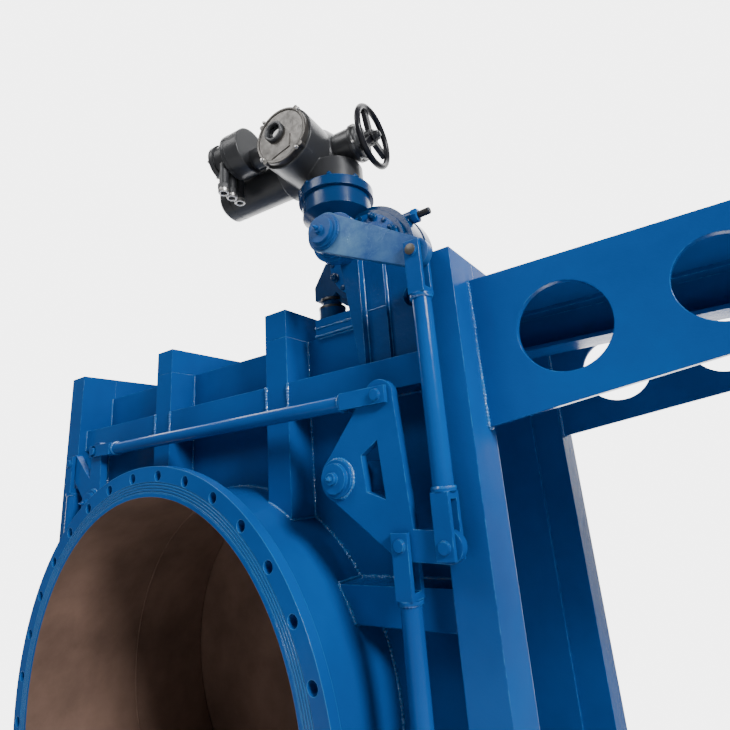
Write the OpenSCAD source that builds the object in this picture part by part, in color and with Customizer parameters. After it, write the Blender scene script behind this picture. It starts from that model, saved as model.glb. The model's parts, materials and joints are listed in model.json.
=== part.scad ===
// Motorised blind valve for a large gas main: two flanged pipe stubs in a welded frame, a blind plate
// on a cantilevered monorail between them, and a clamp linkage driven by a geared electric actuator.
// Millimetres. The origin is the centre of the front flange face, on the port axis.
// X runs to the right towards the cantilever, Y along the port into the valve, Z up.

/* [Ports] */
// Bore of the pipe stubs
bore_d = 1200; // [1160:1:1240]
// Wall of the pipe stubs
pipe_wall = 12; // [8:1:16]
// Width of a flange outside its pipe
flange_w = 75.5; // [72:0.5:85]
// Thickness of the flanges
flange_t = 30; // [24:1:40]
// Flange bolts, inwards of the flange's rim
bolt_in = 27.5; // [24:0.5:28]
// Diameter of the flange bolt holes
bolt_d = 30; // [26:1:32]
// Number of flange bolt holes
bolt_n = 32; // [24:4:36]
// Number of gasket grooves in a flange face
groove_n = 4; // [3:1:4]
// Pitch of the gasket grooves
groove_pitch = 8; // [6:0.5:8]
// Distance between the two flange faces
face_to_face = 1400; // [1380:10:1500]
// Width of a seat ring outside its pipe
seat_w = 53; // [45:1:60]
// Thickness of a seat ring
seat_t = 30; // [24:1:36]

/* [Frame] */
// Front face of the front plate, from the flange face
plate_y = 355; // [345:1:365]
// Thickness of the front and rear plates
plate_t = 25; // [20:1:35]
// Gap between the pipe and the cross beam above it
beam_gap = 213; // [200:1:225]
// Height of the cross beams
beam_h = 86; // [76:1:96]
// Height of the plates above the cross beam
plate_over = 154; // [145:1:165]
// Height of the ties on top of the plates
tie_h = 93; // [80:1:105]
// Gap between the pipe and the posts
post_gap = 253; // [245:1:262]
// Width of a post
post_w = 100; // [90:1:110]
// Posts, in front of the ribs
post_step = 32; // [26:1:36]
// Posts, behind the front of the plate
post_lap = 9; // [6:1:20]
// Centre of the ribs, from the port axis
rib_x = 305; // [290:1:320]
// Width of a rib
rib_w = 94; // [80:1:100]
// Depth of the ribs and beams
rib_d = 105; // [98:1:112]
// Lower edge of the side gusset beams
gusset_z = 242; // [230:1:255]
// Height of the side gusset beams
gusset_h = 93; // [85:1:105]

/* [Cantilever arm] */
// Length of the arm beyond the posts
arm_len = 1500; // [1400:10:1600]
// Height of the arm plates at the posts
arm_h = 396; // [385:1:410]
// Height of the arm plates at their far end
arm_end_h = 172; // [165:1:200]
// Thickness of the arm plates
arm_t = 20; // [14:1:24]
// Arm plates, behind the front of the posts
arm_step = 100; // [92:1:110]
// Centre of the first lightening hole, beyond the post
arm_hole_x = 221; // [200:1:240]
// Radius of a lightening hole over the height of the plate there
arm_hole_ratio = 0.308; // [0.25:0.001:0.32]
// Pitch of the lightening holes
arm_pitch = 330; // [310:1:350]
// Number of lightening holes
arm_holes = 4; // [3:1:4]
// Thickness of the plate on top of the monorail
roof_t = 25; // [20:1:30]
// Height of the monorail
rail_h = 125; // [115:1:135]
// Width of the monorail flanges
rail_w = 120; // [110:1:130]
// Thickness of the monorail web and flanges
rail_t = 12; // [10:1:14]

/* [Blind plate] */
// Blind plate, beyond the seat rings
blind_lap = 20; // [14:1:26]
// Thickness of the blind plate
blind_t = 70; // [60:1:80]
// Height of the seal on each side of the blind plate
seal_h = 5; // [4:1:8]
// Centre of a trolley, from the port axis
trolley_x = 250; // [235:1:265]

/* [Clamp linkage] */
// Clamp axes, inwards of the pipe's side and top
clamp_in = 9; // [6:1:12]
// Middle plane of the linkage, in front of the posts
link_gap = 43; // [41:1:46]
// Thickness of the levers
lever_t = 25; // [20:1:26]
// Radius of the rounded lever ends round a clamp axis
hub_r = 58; // [54:1:60]
// Radius of a lever end round a pin
eye_r = 36; // [34:1:37]
// Radius of the linkage pins
pin_r = 15; // [12:1:17]
// Radius of the clamp shafts
shaft_r = 28; // [24:1:30]
// Radius of the bearing tubes of the clamp shafts
bearing_r = 45; // [42:1:50]
// Radius of the vertical rods
rod_r = 25; // [22:1:26]
// Radius of the horizontal tie rod
tie_rod_r = 22; // [19:1:24]
// Length of a rod's fork from pin to rod
fork_len = 124; // [122:1:134]
// Depth of a fork's slot behind its pin
slot_len = 100; // [98:1:102]
// Width of a fork across its two jaws
fork_w = 56; // [54:1:58]
// Height of a fork's jaws
fork_h = 44; // [40:1:46]

/* [Gearbox] */
// Output shaft above the top of the plates
gear_rise = 247; // [240:1:255]
// Radius of the gear case's front drum
drum_r = 158; // [154:1:162]
// Depth of the front drum
drum_d = 18; // [14:1:24]
// Radius of the gear case's main ring
case_r = 178; // [174:1:180]
// Depth of the main ring
case_d = 127; // [120:1:135]
// Radius of the gear cover
cover_r = 140; // [138:1:142]
// Thickness of the gear cover
cover_t = 8; // [6:1:10]
// Radius of the output shaft
output_r = 30; // [26:1:32]
// Radius of the bushing behind the lever
bushing_r = 66; // [62:1:70]
// Worm axis, to the left of the output shaft
worm_x = 102; // [98:1:106]
// Worm axis, behind the front of the plate
worm_y = 17; // [14:1:20]
// Radius of the worm housing
worm_r = 68; // [62:1:70]
// Upper face of the input flange above the output shaft
input_rise = 268; // [263:1:275]
// Radius of the input flange
input_r = 133; // [128:1:138]
// Thickness of the input flange
input_t = 34; // [28:1:40]
// Height of the gearbox base on top of the plates
base_h = 60; // [54:1:64]
// Height of the packing under a gearbox foot
pad_h = 83; // [78:1:88]

/* [Actuator] */
// Yaw of the actuator about the worm axis, in degrees
yaw = 5; // [2:0.5:8]
// Height of the actuator's main axis above the input flange
act_h = 163; // [158:1:168]
// Radius of the main housing
act_r = 112; // [108:1:114]
// Window housing, to the left of the worm axis
window_x = 81; // [78:1:85]
// Radius of the window cover
window_r = 104; // [100:1:106]
// Thickness of the window cover
window_t = 20; // [16:1:24]
// Front face of the window cover, in front of the worm axis
window_y = 200; // [195:1:206]
// Radius of the motor
motor_r = 76; // [72:1:78]
// Far end of the motor, from the worm axis
motor_end = 556; // [540:1:570]
// Radius of the terminal box
terminal_r = 66; // [62:1:67]
// Far end of the terminal box, from the worm axis
terminal_end = 447; // [445:1:460]
// Radius of the handwheel to the middle of its rim
wheel_r = 105; // [100:1:112]
// Radius of the handwheel's rim section
rim_r = 11; // [9:1:12]
// Middle of the handwheel rim, from the worm axis
wheel_x = 168; // [164:1:172]

/* [Hidden] */
$fn = 64;

// Colours as painted
BLUE = [0.05, 0.30, 0.58];
WORN = [0.35, 0.50, 0.64];
GREY = [0.20, 0.22, 0.25];
SILVER = [0.66, 0.64, 0.60];
BLACK = [0.05, 0.05, 0.06];

// Clearances
run_gap = 0.05;
open_gap = 0.5;
slip_gap = 6;
clear = 5;
over = 1;

// Ports
bore_r = bore_d / 2;
pipe_r = bore_r + pipe_wall;
flange_r = pipe_r + flange_w;
bolt_r = flange_r - bolt_in;
groove_start = 5;
groove_w = 3;
groove_h = 2;
mid_y = face_to_face / 2;
seat_y = mid_y - blind_t / 2 - seal_h;
seat_r = pipe_r + seat_w;

// Frame
plate_back = plate_y + plate_t;
beam_z = pipe_r + beam_gap;
beam_top = beam_z + beam_h;
plate_h = beam_top + plate_over;
frame_h = plate_h + tie_h;
rib_y = plate_y - rib_d;
rib_in = rib_x - rib_w / 2;
rib_out = rib_x + rib_w / 2;
post_x = pipe_r + post_gap;
post_out = post_x + post_w;
post_y = rib_y - post_step;
post_back = plate_y + post_lap;

// Cantilever arm
arm_y = post_y + arm_step;
arm_top = plate_h + roof_t;
arm_end = post_out + arm_len;
arm_slope = (arm_h - arm_end_h) / arm_len;
end_t = 20;
rail_z = plate_h - rail_h;
rail_in = 45;
function arm_height(x) = arm_h - arm_slope * (x - post_out);

// Blind plate and its trolleys
blind_r = seat_r + blind_lap;
seal_edge = 12;
seal_w = 35;
hanger_w = 90;
hanger_t = 20;
hanger_low = blind_r - seat_w;
yoke_gap = 22;
yoke_t = 12;
cheek_t = 10;
cheek_gap = 8;
cheek_h = 110;
roller_r = 30;

// Linkage: arm vectors from a clamp axis, in X and Z
arm_rod = [290, -166];
arm_tie = [143, 193];
arm_down = [176, -161];
crank_window = [[76, 50], [128, 84], [140, -58], [86, -38]];
arm_tie_left = [0, arm_tie[1]];
arm_down_left = -arm_down;
clamp_x = pipe_r - clamp_in;
clamp_ur = [clamp_x, clamp_x];
clamp_lr = [clamp_x, -clamp_x];
clamp_ul = [-clamp_x, clamp_x];
clamp_ll = [-clamp_x, -clamp_x];
gear_z = plate_h + gear_rise;
gear_axis = [clamp_x, gear_z];
link_y = post_y - link_gap;
lever_y0 = link_y - lever_t / 2;
lever_y1 = link_y + lever_t / 2;
jaw_gap = lever_t + clear;
bar_share = 0.97;
slim_r = 46;
tie_eye_r = 42;
lever_hub_r = 62;
lever_eye_r = 40;
boss_step = 10;
boss_h = 12;
shaft_end = plate_y - 2 * clear;
collar_h = 8;
pin_head = 6;
fork_end = 28;

// Gearbox
case_gap = 15;
case_y = plate_y + case_gap;
ring_y = case_y + drum_d;
case_back = ring_y + case_d;
rib_ring_y = case_back - case_d / 3;
cover_y = case_y - cover_t;
slot_w = 6;
ring_step = 6;
base_front = 15;
base_y = plate_y - base_front;
base_d = 130;
base_gap = 51;
base_x = rib_out + base_gap;
base_top = plate_h + base_h;
foot_x = 166;
foot_out = 220;
foot_in = 136;
foot_top = 22;
foot_side = 50;
foot_y = case_y;
foot_d = 50;
pad_r = 46;
pad_neck_r = 34;
fin_d = 85;
fin_y = plate_y - fin_d;
fin_x = 40;
fin_top_w = 76;
fin_low_w = 20;
leg_w = 72;
leg_d = 60;
leg_y = plate_y - leg_d;
web_set = 15;
web_y = leg_y + web_set;
web_t = 20;
web_gap = 8;
web_side = 8;
web_hole = [197, 31];
web_hole_r = 33;
stop_z = 103;
stop_r = 11;
stop_end = 226;
stop_boss = 165;
bushing_step = 14;
bushing_y = lever_y1 + clear + boss_h;
bushing_d = 30;
worm_gap = 2;
worm_low = gear_z + cover_r + worm_gap;
throat_sink = 4;
throat_step = 12;
cone_h = 30;
throat_z = gear_z + case_r - throat_sink;
throat_h = gear_z + input_rise - input_t - throat_z;
output_in = 20;
output_end = case_y + output_in;

// Actuator, in its own frame on the worm axis
input_z = gear_z + input_rise;
act_z = input_z + act_h;
act_step = 12;
act_base_in = 30;
act_base_r = input_r - act_base_in;
act_base_gap = 70;
act_base_h = act_h - act_base_gap;
lug_r = 9;
lug_h = 3;
lug_d = 36;
port_r = 36;
port_hole_r = 27;
port_h = 8;
port_at = [-24, 22];
motor_y = 44;
motor_rise = 26;
motor_round = 18;
motor_ring = 8;
motor_ring_w = 16;
terminal_y = 110;
terminal_rise = 87;
terminal_in = 290;
elbow_r = 40;
elbow_y = 90;
elbow_rise = 57;
drum_step = 20;
drum_len = 82;
lid_step = 6;
lid_t = 20;
gland_r = 17;
gland_nut_r = 22;
gland_nut_h = 22;
gland_low = 152;
gland_len = 110;
gland_pitch = 42;
gland_x = 394;
wheel_rise = 10;
neck_r = 62;
neck_start = 32;
neck_end = 128;
neck_ring = 6;
neck_ring_w = 14;
stem_r = 14;
stem_over = 10;
hub_len = 34;
spokes = 3;
spoke_w = 24;
spoke_turn = 20;

// Shapes
module cyl_y(r, y0, y1) {
  translate([0, y0, 0]) rotate([-90, 0, 0]) cylinder(r = r, h = y1 - y0);
}

module cyl_x(r, x0, x1) {
  translate([x0, 0, 0]) rotate([0, 90, 0]) cylinder(r = r, h = x1 - x0);
}

module box(x, y, z) {
  translate([x[0], y[0], z[0]]) cube([x[1] - x[0], y[1] - y[0], z[1] - z[0]]);
}

module tube_y(r_out, r_in, y0, y1) {
  difference() {
    cyl_y(r_out, y0, y1);
    cyl_y(r_in, y0 - over, y1 + over);
  }
}

// A flat shape in X and Z, from y0 to y1
module slab(y0, y1) {
  translate([0, y1, 0]) rotate([90, 0, 0]) linear_extrude(y1 - y0) children();
}

module rear() {
  translate([0, face_to_face, 0]) mirror([0, 1, 0]) children();
}

module up_and_down() {
  children();
  mirror([0, 0, 1]) children();
}

module left_and_right() {
  children();
  mirror([1, 0, 0]) children();
}

module at_xz(p) {
  translate([p[0], 0, p[1]]) children();
}

// A flat tapered bar between two round ends; the bar is a little narrower than the ends
module link(a, ra, b, rb) {
  along = (b - a) / norm(b - a);
  across = bar_share * [-along[1], along[0]];
  translate(a) circle(ra);
  translate(b) circle(rb);
  polygon([a + ra * across, a - ra * across, b - rb * across, b + rb * across]);
}

// Ports
module flange() {
  difference() {
    cyl_y(flange_r, 0, flange_t);
    cyl_y(pipe_r, -over, flange_t + over);
    for (i = [0 : bolt_n - 1])
      rotate([0, (i + 0.5) * 360 / bolt_n, 0])
        translate([0, 0, bolt_r]) cyl_y(bolt_d / 2, -over, flange_t + over);
    for (i = [0 : groove_n - 1])
      tube_y(pipe_r + groove_start + i * groove_pitch + groove_w / 2,
        pipe_r + groove_start + i * groove_pitch - groove_w / 2, -over, groove_h);
  }
}

module front_flange() { color(BLUE) flange(); }

module rear_flange() { color(BLUE) rear() flange(); }

module front_pipe() { color(BLUE) tube_y(pipe_r, bore_r, 0, seat_y); }

module rear_pipe() { color(BLUE) rear() tube_y(pipe_r, bore_r, 0, seat_y); }

module front_seat() { color(BLUE) tube_y(seat_r, pipe_r, seat_y - seat_t, seat_y); }

module rear_seat() { color(BLUE) rear() tube_y(seat_r, pipe_r, seat_y - seat_t, seat_y); }

// Frame
module plate() {
  difference() {
    box([-post_x, post_x], [plate_y, plate_back], [-plate_h, plate_h]);
    cyl_y(pipe_r, plate_y - over, plate_back + over);
  }
}

module ribs() {
  up_and_down() left_and_right() difference() {
    box([rib_in, rib_out], [rib_y, plate_y], [0, plate_h]);
    cyl_y(pipe_r, rib_y - over, plate_y + over);
  }
}

module beams() {
  up_and_down() for (span = [[-post_x, -rib_out], [-rib_in, rib_in], [rib_out, post_x]])
    box(span, [rib_y, plate_y], [beam_z, beam_top]);
}

module gussets() {
  up_and_down() left_and_right() difference() {
    box([rib_out, post_x], [rib_y, plate_y], [gusset_z, gusset_z + gusset_h]);
    cyl_y(pipe_r, rib_y - over, plate_y + over);
  }
}

module posts() {
  left_and_right() box([post_x, post_out], [post_y, post_back], [-frame_h, frame_h]);
}

module front_plate() { color(BLUE) plate(); }

module rear_plate() { color(BLUE) rear() plate(); }

module front_ribs() { color(BLUE) ribs(); }

module rear_ribs() { color(BLUE) rear() ribs(); }

module rib_ties() {
  color(BLUE) up_and_down() left_and_right()
    box([rib_in, rib_out], [rib_y, face_to_face - rib_y], [plate_h, frame_h]);
}

module front_beams() { color(BLUE) beams(); }

module rear_beams() { color(BLUE) rear() beams(); }

module front_gussets() { color(BLUE) gussets(); }

module rear_gussets() { color(BLUE) rear() gussets(); }

module front_posts() { color(BLUE) posts(); }

module rear_posts() { color(BLUE) rear() posts(); }

module post_ties() {
  color(BLUE) up_and_down() left_and_right()
    box([post_x, post_out], [post_back, face_to_face - post_back], [plate_h, frame_h]);
}

// Cantilever arm
module arm_plate() {
  slab(arm_y, arm_y + arm_t) difference() {
    polygon([[post_out, arm_top - arm_h], [arm_end, arm_top - arm_end_h], [arm_end, arm_top],
      [post_out, arm_top]]);
    for (i = [0 : arm_holes - 1]) {
      x = post_out + arm_hole_x + i * arm_pitch;
      translate([x, arm_top - arm_height(x) / 2]) circle(arm_hole_ratio * arm_height(x));
    }
  }
}

module front_arm_plate() { color(BLUE) arm_plate(); }

module rear_arm_plate() { color(BLUE) rear() arm_plate(); }

module arm_top_plate() {
  color(BLUE) {
    box([post_out, arm_end + end_t], [arm_y + arm_t, face_to_face - arm_y - arm_t], [plate_h, arm_top]);
    box([arm_end, arm_end + end_t], [arm_y, face_to_face - arm_y], [arm_top - arm_end_h, arm_top]);
  }
}

module monorail_beam() {
  color(BLUE) translate([0, mid_y, 0]) {
    for (z = [rail_z, plate_h - rail_t])
      box([rail_in - post_x, arm_end], [-rail_w / 2, rail_w / 2], [z, z + rail_t]);
    box([rail_in - post_x, arm_end], [-rail_t / 2, rail_t / 2], [rail_z + rail_t, plate_h - rail_t]);
  }
}

// Blind plate
module blind_plate() {
  color(BLUE) translate([0, mid_y, 0]) {
    cyl_y(blind_r, -blind_t / 2, blind_t / 2);
    for (y = [-blind_t / 2 - seal_h, blind_t / 2])
      tube_y(seat_r - seal_edge, seat_r - seal_edge - seal_w, y, y + seal_h);
  }
}

module blind_trolley() {
  yoke_z = rail_z - yoke_gap - yoke_t;
  cheek_y = rail_w / 2 + cheek_gap;
  roller_y = rail_t / 2 + clear;
  difference() {
    box([-hanger_w / 2, hanger_w / 2], [-hanger_t / 2, hanger_t / 2], [hanger_low, yoke_z + yoke_t]);
    translate([-trolley_x, 0, 0]) cyl_y(blind_r, -blind_t, blind_t);
  }
  box([-hanger_w / 2, hanger_w / 2], [-cheek_y, cheek_y], [yoke_z, yoke_z + yoke_t]);
  for (side = [0, 1]) mirror([0, side, 0]) {
    box([-hanger_w / 2, hanger_w / 2], [cheek_y, cheek_y + cheek_t], [yoke_z, yoke_z + cheek_h]);
    translate([0, 0, rail_z + rail_t + roller_r]) cyl_y(roller_r, roller_y, cheek_y);
  }
}

module blind_trolleys() {
  color(BLUE) left_and_right() translate([trolley_x, mid_y, 0]) blind_trolley();
}

// Clamp linkage
module clamp_bearings() {
  color(BLUE) up_and_down() left_and_right() at_xz(clamp_ur) difference() {
    cyl_y(bearing_r, lever_y1 + clear, plate_y);
    cyl_y(shaft_r + run_gap, lever_y1, shaft_end + clear);
  }
}

// Stepped boss in front of a lever, with a shaft end
module boss(r) {
  cyl_y(r - boss_step, lever_y0 - boss_h, lever_y0);
  cyl_y(r - 2 * boss_step, lever_y0 - 2 * boss_h, lever_y0 - boss_h);
  cyl_y(pin_r, lever_y0 - 3 * boss_h, lever_y0 - 2 * boss_h);
}

// Boss of a clamp lever and the clamp shaft behind it
module clamp_shaft() {
  boss(hub_r);
  cyl_y(shaft_r, lever_y1, shaft_end);
}

// Lever plate on its axis, with holes at the pins of other bodies
module lever_plate(holes) {
  difference() {
    slab(lever_y0, lever_y1) children();
    for (h = holes) at_xz(h[0]) cyl_y(h[1], lever_y0 - over, lever_y1 + over);
  }
}

// Fork round a pin at the origin, with its rod leaving along heading
module fork(heading, rod) {
  rotate([0, -heading, 0]) difference() {
    union() {
      box([-fork_end, fork_len - collar_h], [link_y - fork_w / 2, link_y + fork_w / 2],
        [-fork_h / 2, fork_h / 2]);
      translate([0, link_y, 0]) cyl_x(rod + clear, fork_len - collar_h, fork_len);
    }
    box([-fork_end - over, slot_len], [link_y - jaw_gap / 2, link_y + jaw_gap / 2],
      [-fork_h / 2 - over, fork_h / 2 + over]);
  }
}

module pin(r) { cyl_y(r, link_y - fork_w / 2 - pin_head, link_y + fork_w / 2 + pin_head); }

// Rod with a fork at each end, from pin a to pin b
module rod(a, b, r) {
  d = b - a;
  heading = atan2(d[1], d[0]);
  at_xz(a) {
    fork(heading, r);
    rotate([0, -heading, 0]) translate([0, link_y, 0]) cyl_x(r, fork_len, norm(d) - fork_len);
  }
  at_xz(b) fork(heading + 180, r);
}

module lever() {
  color(WORN) at_xz(gear_axis) {
    lever_plate([[arm_rod, pin_r + run_gap]]) link([0, 0], lever_hub_r, arm_rod, lever_eye_r);
    boss(lever_hub_r);
    cyl_y(output_r, lever_y1, output_end);
  }
}

module connecting_rod() {
  color(BLUE) {
    rod(gear_axis + arm_rod, clamp_ur + arm_rod, rod_r);
    at_xz(gear_axis + arm_rod) pin(pin_r);
    at_xz(clamp_ur + arm_rod) pin(pin_r);
  }
}

module crank_upper_right() {
  color(BLUE) at_xz(clamp_ur) {
    lever_plate([[arm_rod, pin_r + open_gap], [arm_tie, pin_r + run_gap], [arm_down, pin_r + run_gap]])
      difference() {
        union() {
          polygon([[0, 0], arm_tie, arm_down]);
          link([0, 0], hub_r, arm_tie, tie_eye_r);
          link([0, 0], hub_r, arm_down, eye_r);
          link(arm_tie, tie_eye_r, arm_down, eye_r);
          link(arm_down, eye_r, arm_rod, eye_r);
        }
        polygon(crank_window);
      }
    clamp_shaft();
  }
}

module tie_rod() {
  color(BLUE) difference() {
    union() {
      rod(clamp_ur + arm_tie, clamp_ul + arm_tie_left, tie_rod_r);
      at_xz(clamp_ur + arm_tie) pin(pin_r);
    }
    at_xz(clamp_ul + arm_tie_left) cyl_y(pin_r + slip_gap, 0, plate_y);
  }
}

module down_rod_right() {
  color(BLUE) {
    rod(clamp_ur + arm_down, clamp_lr + arm_down, rod_r);
    at_xz(clamp_ur + arm_down) pin(pin_r);
    at_xz(clamp_lr + arm_down) pin(pin_r);
  }
}

// Lower crank: one arm from its clamp axis to the end of a down rod
module crank_lower(arm) {
  lever_plate([[arm, pin_r + open_gap]]) {
    circle(hub_r);
    link([0, 0], slim_r, arm, eye_r);
  }
  clamp_shaft();
}

module crank_lower_right() { color(BLUE) at_xz(clamp_lr) crank_lower(arm_down); }

module crank_upper_left() {
  color(BLUE) at_xz(clamp_ul) {
    lever_plate([[arm_down_left, pin_r + run_gap]]) {
      circle(hub_r);
      link([0, 0], slim_r, arm_tie_left, eye_r);
      link([0, 0], slim_r, arm_down_left, eye_r);
    }
    at_xz(arm_tie_left) pin(pin_r);
    clamp_shaft();
  }
}

module down_rod_left() {
  color(BLUE) {
    rod(clamp_ul + arm_down_left, clamp_ll + arm_down_left, rod_r);
    at_xz(clamp_ul + arm_down_left) pin(pin_r);
    at_xz(clamp_ll + arm_down_left) pin(pin_r);
  }
}

module crank_lower_left() { color(BLUE) at_xz(clamp_ll) crank_lower(arm_down_left); }

// Gearbox
// Base, with room under the gear case
module gearbox_base() {
  color(BLUE) difference() {
    box([base_x, post_x], [base_y, base_y + base_d], [plate_h, base_top]);
    at_xz(gear_axis) cyl_y(case_r + ring_step / 2 + clear, ring_y, case_back);
  }
}

// Tapered fin under the bushing, a leg beside it and a web with a hand hole up to the post
module gearbox_stand() {
  fin_right = clamp_x + fin_x;
  leg_right = fin_right + leg_w;
  web_right = post_x - web_gap;
  color(BLUE) difference() {
    union() {
      slab(fin_y, plate_y) polygon([[fin_right - fin_low_w, beam_top], [fin_right, beam_top],
        [fin_right, gear_z], [fin_right - fin_top_w, gear_z]]);
      box([fin_right, leg_right], [leg_y, plate_y], [beam_top, gear_z]);
      slab(web_y, web_y + web_t) polygon([[leg_right, beam_top], [web_right, beam_top],
        [web_right, base_top + web_side], [leg_right, gear_z]]);
    }
    at_xz(gear_axis) cyl_y(bushing_r, 0, plate_y + over);
    at_xz([clamp_x + web_hole[0], plate_h + web_hole[1]]) cyl_y(web_hole_r, 0, plate_y + over);
    box([base_x, post_x], [base_y, plate_y + over], [plate_h, base_top]);
  }
}

// One foot of the gear case, with its packing on the base
module gear_foot() {
  low = base_top + pad_h - gear_z;
  slab(foot_y, foot_y + foot_d) polygon([[-foot_x, foot_top], [-foot_out, low + foot_side],
    [-foot_out, low], [-foot_in, low], [-foot_in / 2, 0]]);
  translate([-foot_x, foot_y + foot_d / 2, low - pad_h]) {
    cylinder(r = pad_r, h = pad_h / 2);
    cylinder(r = pad_neck_r, h = pad_h);
  }
}

module gear_case() {
  color(BLUE) difference() {
    union() {
      at_xz(gear_axis) {
        cyl_y(drum_r, case_y, ring_y - slot_w);
        cyl_y(drum_r - ring_step, case_y, ring_y);
        cyl_y(case_r, ring_y, rib_ring_y - slot_w);
        cyl_y(case_r - ring_step, ring_y, case_back);
        cyl_y(case_r + ring_step / 2, rib_ring_y, case_back);
        left_and_right() gear_foot();
        translate([0, (ring_y + rib_ring_y) / 2, stop_z]) {
          cyl_x(2 * stop_r, 0, stop_boss);
          cyl_x(stop_r, 0, stop_end);
        }
      }
      translate([clamp_x - worm_x, plate_y + worm_y, 0]) {
        translate([0, 0, worm_low]) cylinder(r = worm_r, h = throat_z - worm_low);
        translate([0, 0, throat_z - cone_h])
          cylinder(r1 = worm_r, r2 = input_r - throat_step, h = cone_h);
        translate([0, 0, throat_z]) cylinder(r = input_r - throat_step, h = throat_h);
      }
    }
    at_xz(gear_axis) {
      cyl_y(output_r + run_gap, 0, output_end + clear);
      cyl_y(cover_r + worm_gap, 0, case_y);
    }
  }
}

module gear_cover() {
  color(BLUE) at_xz(gear_axis) difference() {
    union() {
      cyl_y(cover_r, cover_y, case_y);
      cyl_y(bushing_r + bushing_step, bushing_y, bushing_y + bushing_d);
      cyl_y(bushing_r, lever_y1 + clear, cover_y);
    }
    cyl_y(output_r + run_gap, 0, case_y + over);
  }
}

// Actuator
module on_worm_axis() {
  translate([clamp_x - worm_x, plate_y + worm_y, 0]) rotate([0, 0, yaw]) children();
}

module window_lugs(y0, y1) {
  for (a = [40 : 90 : 310]) rotate([0, a, 0]) translate([window_r, 0, 0]) cyl_y(lug_r, y0, y1);
}

module input_flange() {
  color(BLUE) on_worm_axis() translate([0, 0, input_z - input_t]) cylinder(r = input_r, h = input_t);
}

module actuator_body() {
  cover_back = window_t - window_y;
  color(GREY) on_worm_axis() {
    translate([0, 0, input_z]) cylinder(r = act_base_r, h = act_base_h);
    translate([-window_x, 0, act_z]) {
      cyl_y(act_r, cover_back, act_r);
      window_lugs(cover_back, cover_back + lug_d);
    }
    translate([0, 0, act_z]) {
      cyl_x(act_r - act_step, -window_x - act_r, 0);
      rotate([0, 90, 0]) cylinder(r1 = act_r - act_step, r2 = neck_r + neck_ring, h = neck_start);
    }
    translate([0, -elbow_y, act_z + elbow_rise]) cyl_x(elbow_r, -terminal_in, -window_x);
  }
}

// Round cover with a raised bezel round its port
module window_cover() {
  color(SILVER) on_worm_axis() translate([-window_x, -window_y, act_z]) difference() {
    union() {
      cyl_y(window_r, 0, window_t);
      window_lugs(-lug_h, window_t - lug_h);
      at_xz(port_at) cyl_y(port_r, -port_h, port_h);
    }
    at_xz(port_at) cyl_y(port_hole_r, -port_h - over, port_h / 2);
  }
}

module terminal_box() {
  color(GREY) on_worm_axis() translate([0, -terminal_y, act_z + terminal_rise]) {
    cyl_x(terminal_r + drum_step, -terminal_in - drum_len, -terminal_in);
    cyl_x(terminal_r, lid_t - terminal_end, -terminal_in - drum_len);
    cyl_x(terminal_r + lid_step, -terminal_end, lid_t - terminal_end);
    for (i = [-1 : 1]) translate([-gland_x, i * gland_pitch, -gland_low]) {
      cylinder(r = gland_r, h = gland_len);
      cylinder(r = gland_nut_r, h = gland_nut_h, $fn = 6);
    }
  }
}

module motor() {
  start = -window_x - act_r;
  color(GREY) on_worm_axis() translate([0, motor_y, act_z + motor_rise]) {
    cyl_x(motor_r, motor_round - motor_end, start);
    cyl_x(motor_r + motor_ring, start - motor_ring_w, start);
    translate([-motor_end, 0, 0]) rotate([0, 90, 0])
      cylinder(r1 = motor_r - motor_round, r2 = motor_r, h = motor_round);
  }
}

module handwheel_neck() {
  color(GREY) on_worm_axis() translate([0, 0, act_z + wheel_rise]) difference() {
    union() {
      cyl_x(neck_r, neck_start, neck_end);
      cyl_x(neck_r + neck_ring, neck_end - 2 * neck_ring_w, neck_end - neck_ring_w);
    }
    cyl_x(stem_r + run_gap, neck_start + clear, neck_end + over);
  }
}

module handwheel() {
  hub = neck_end + clear;
  color(BLACK) on_worm_axis() translate([0, 0, act_z + wheel_rise]) {
    translate([wheel_x, 0, 0]) rotate([0, 90, 0])
      rotate_extrude() translate([wheel_r, 0]) circle(rim_r);
    cyl_x(stem_r, neck_start + 2 * clear, wheel_x + stem_over);
    cyl_x(2 * stem_r, hub, hub + hub_len);
    for (i = [0 : spokes - 1]) rotate([i * 360 / spokes + spoke_turn, 0, 0])
      box([hub + hub_len / 2, wheel_x], [-spoke_w / 2, spoke_w / 2], [stem_r, wheel_r - rim_r / 2]);
  }
}

front_flange();
rear_flange();
front_pipe();
rear_pipe();
front_seat();
rear_seat();
front_plate();
rear_plate();
front_ribs();
rear_ribs();
rib_ties();
front_beams();
rear_beams();
front_gussets();
rear_gussets();
front_posts();
rear_posts();
post_ties();
front_arm_plate();
rear_arm_plate();
arm_top_plate();
monorail_beam();
blind_plate();
blind_trolleys();
clamp_bearings();
gearbox_base();
gearbox_stand();
gear_case();
gear_cover();
input_flange();
actuator_body();
window_cover();
terminal_box();
motor();
handwheel_neck();
lever();
connecting_rod();
crank_upper_right();
tie_rod();
down_rod_right();
crank_lower_right();
crank_upper_left();
down_rod_left();
crank_lower_left();
handwheel();
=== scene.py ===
"""Looks of the motorised blind valve: enamel, primer, weld beads, bolts, actuator trim and studio."""

from __future__ import annotations

import json
import logging
import math
from dataclasses import dataclass, field
from enum import Enum
from typing import Callable, Iterable, Iterator, Union

import bmesh
import bpy
from mathutils import Matrix, Vector, noise

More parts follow.
